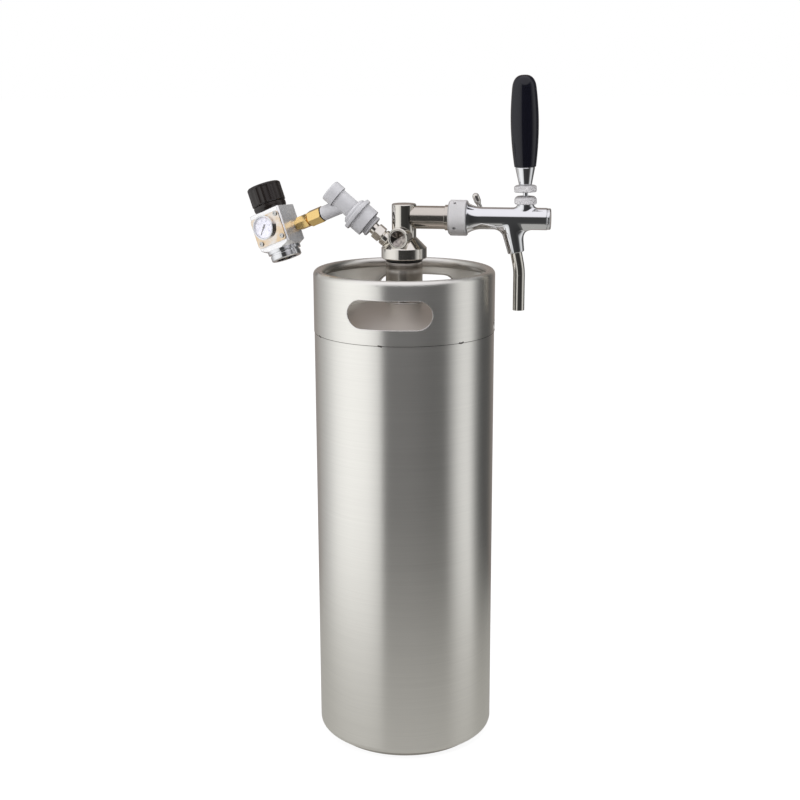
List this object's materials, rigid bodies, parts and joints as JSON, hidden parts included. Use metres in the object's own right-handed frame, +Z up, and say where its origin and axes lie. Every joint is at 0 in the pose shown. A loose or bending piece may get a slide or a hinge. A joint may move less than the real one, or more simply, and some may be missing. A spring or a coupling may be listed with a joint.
{
  "type": "mini keg growler with tap head and gas regulator",
  "caption": "Tall stainless mini keg with a screw-in tap head, a flow-control tap and handle, a ball-lock gas disconnect and a small gas regulator with a gauge.",
  "frame": {"origin": "centre of the keg's foot, on the surface it stands on", "axes": "+Z up along the keg's axis, +X along the tap arm towards the handle"},
  "size_m": [0.3021, 0.1768, 0.6617],
  "materials": {
    "keg_steel": "brushed",
    "dome_steel": "satin",
    "head_steel": "polished",
    "chrome": "mirror",
    "knurled_steel": "knurled satin",
    "spring_steel": "drawn wire",
    "handle_black": "glossy",
    "knob_black": "matte",
    "rubber": "matte",
    "grey_plastic": "satin",
    "brass": "turned",
    "alloy": "satin",
    "plate_nickel": "polished",
    "dial_face": "printed",
    "lens": "clear"
  },
  "bodies": {
    "keg": {"keg_shell": "keg_steel", "keg_top_dome": "dome_steel", "keg_neck": "head_steel", "top_skirt": "keg_steel", "foot_ring": "keg_steel"},
    "neck_seal": {"neck_o_ring": "rubber"},
    "head": {"head_body": "head_steel", "dip_tube": "head_steel", "dip_tube_seals": "rubber", "relief_plug": "head_steel", "relief_spring": "spring_steel", "gas_post": "head_steel", "post_o_ring": "rubber", "post_spring": "spring_steel", "shank": "head_steel", "coupling_washer": "rubber", "faucet_body": "chrome", "end_cap": "chrome", "tap_seals": "rubber", "spout_tube": "head_steel", "bonnet_nut": "knurled_steel"},
    "relief_valve": {"relief_poppet": "head_steel"},
    "post_valve": {"post_poppet": "brass"},
    "coupling_nut": {"coupling_nut": "knurled_steel"},
    "lever": {"tap_lever": "chrome", "lock_nut": "knurled_steel", "handle_ferrule": "chrome", "tap_handle": "handle_black"},
    "plunger": {"plunger": "head_steel", "plunger_seal": "rubber"},
    "flow_lever": {"flow_lever": "chrome"},
    "compensator": {"compensator": "grey_plastic"},
    "disconnect": {"disconnect_insert": "grey_plastic", "disconnect_body": "grey_plastic", "disconnect_cap": "grey_plastic", "lock_balls": "spring_steel", "collar_spring": "spring_steel", "pin_spring": "spring_steel", "flare_washer": "rubber"},
    "release_collar": {"disconnect_collar": "grey_plastic"},
    "disconnect_pin": {"disconnect_pin": "spring_steel"},
    "swivel_nut": {"swivel_nut": "brass"},
    "regulator": {"outlet_fitting": "brass", "regulator_body": "alloy", "gauge_plate": "plate_nickel", "plate_screws": "spring_steel", "gauge_case": "chrome", "gauge_dial": "dial_face", "gauge_lens": "lens", "bonnet_ring": "knob_black", "spring_housing": "alloy", "diaphragm": "rubber", "adjust_spring": "spring_steel", "inlet_adapter": "chrome", "inlet_seal": "rubber", "inlet_pin": "brass"},
    "gauge_needle": {"gauge_needle": "knob_black"},
    "spring_plate": {"spring_plate": "brass"},
    "knob": {"adjust_knob": "knob_black", "adjust_screw": "brass"}
  },
  "joints": [
    {"name": "head_lift", "type": "slide", "parent": "keg", "child": "neck_seal", "axis": [0, 0, 1], "range_m": [0, 0.46]},
    {"name": "head_turn", "type": "hinge", "parent": "neck_seal", "child": "head", "pos_m": [0, 0, 0.4864], "axis": [0, 0, 1], "continuous": true},
    {"name": "relief_lift", "type": "slide", "parent": "head", "child": "relief_valve", "axis": [-0.1219, -0.9925, 0], "range_m": [0, 0.0015], "stiffness_N_per_m": 60, "springref_m": -0.004, "deforming": ["relief_spring"]},
    {"name": "post_valve_push", "type": "slide", "parent": "head", "child": "post_valve", "axis": [0.766, 0, -0.6428], "range_m": [0, 0.002], "stiffness_N_per_m": 60, "springref_m": -0.004, "deforming": ["post_spring"]},
    {"name": "coupling_nut_turn", "type": "hinge", "parent": "head", "child": "coupling_nut", "pos_m": [0.0528, 0, 0.5283], "axis": [1, 0, 0], "continuous": true},
    {"name": "handle_pull", "type": "hinge", "parent": "head", "child": "lever", "pos_m": [0.1169, 0, 0.544], "axis": [0, 1, 0], "range_deg": [0, 24]},
    {"name": "plunger_slide", "type": "slide", "parent": "head", "child": "plunger", "axis": [-1, 0, 0], "range_m": [0, 0.006]},
    {"name": "flow_turn", "type": "hinge", "parent": "head", "child": "flow_lever", "pos_m": [0.0753, 0.013, 0.5283], "axis": [0, 1, 0], "range_deg": [-10, 76]},
    {"name": "compensator_slide", "type": "slide", "parent": "head", "child": "compensator", "axis": [1, 0, 0], "range_m": [-0.001, 0.0023]},
    {"name": "disconnect_spin", "type": "hinge", "parent": "head", "child": "disconnect", "pos_m": [-0.04443, 0, 0.52948], "axis": [-0.766, 0, 0.6428], "continuous": true},
    {"name": "collar_pull", "type": "slide", "parent": "disconnect", "child": "release_collar", "axis": [-0.766, 0, 0.6428], "range_m": [0, 0.0028], "stiffness_N_per_m": 120, "springref_m": -0.004, "deforming": ["collar_spring"]},
    {"name": "pin_push", "type": "slide", "parent": "disconnect", "child": "disconnect_pin", "axis": [-0.766, 0, 0.6428], "range_m": [0, 0.002], "stiffness_N_per_m": 60, "springref_m": -0.004, "deforming": ["pin_spring"]},
    {"name": "swivel_nut_turn", "type": "hinge", "parent": "disconnect", "child": "swivel_nut", "pos_m": [-0.08794, 0.01034, 0.52681], "axis": [-0.8791, 0.2936, -0.3755], "continuous": true},
    {"name": "regulator_swing", "type": "hinge", "parent": "disconnect", "child": "regulator", "pos_m": [-0.11044, 0.01785, 0.51719], "axis": [-0.8791, 0.2936, -0.3755], "continuous": true},
    {"name": "needle_turn", "type": "hinge", "parent": "regulator", "child": "gauge_needle", "pos_m": [-0.139, 0.00237, 0.51576], "axis": [0.3314, 0.9427, -0.0387], "range_deg": [0, 270], "stiffness_Nm_per_rad": 0.0002, "springref_deg": -17.19},
    {"name": "plate_rise", "type": "slide", "parent": "regulator", "child": "spring_plate", "axis": [-0.3426, 0.1584, 0.926], "range_m": [0, 0.0046], "deforming": ["adjust_spring"]},
    {"name": "knob_turn", "type": "hinge", "parent": "spring_plate", "child": "knob", "pos_m": [-0.14028, 0.01975, 0.5406], "axis": [-0.3426, 0.1584, 0.926], "range_deg": [0, 1080]}
  ],
  "couplings": [
    {"joint": "plunger_slide", "follows": "handle_pull", "m_per_rad": 0.01406},
    {"joint": "compensator_slide", "follows": "flow_turn", "m_per_rad": 0.00171},
    {"joint": "plate_rise", "follows": "knob_turn", "m_per_rad": 0.00023873}
  ]
}
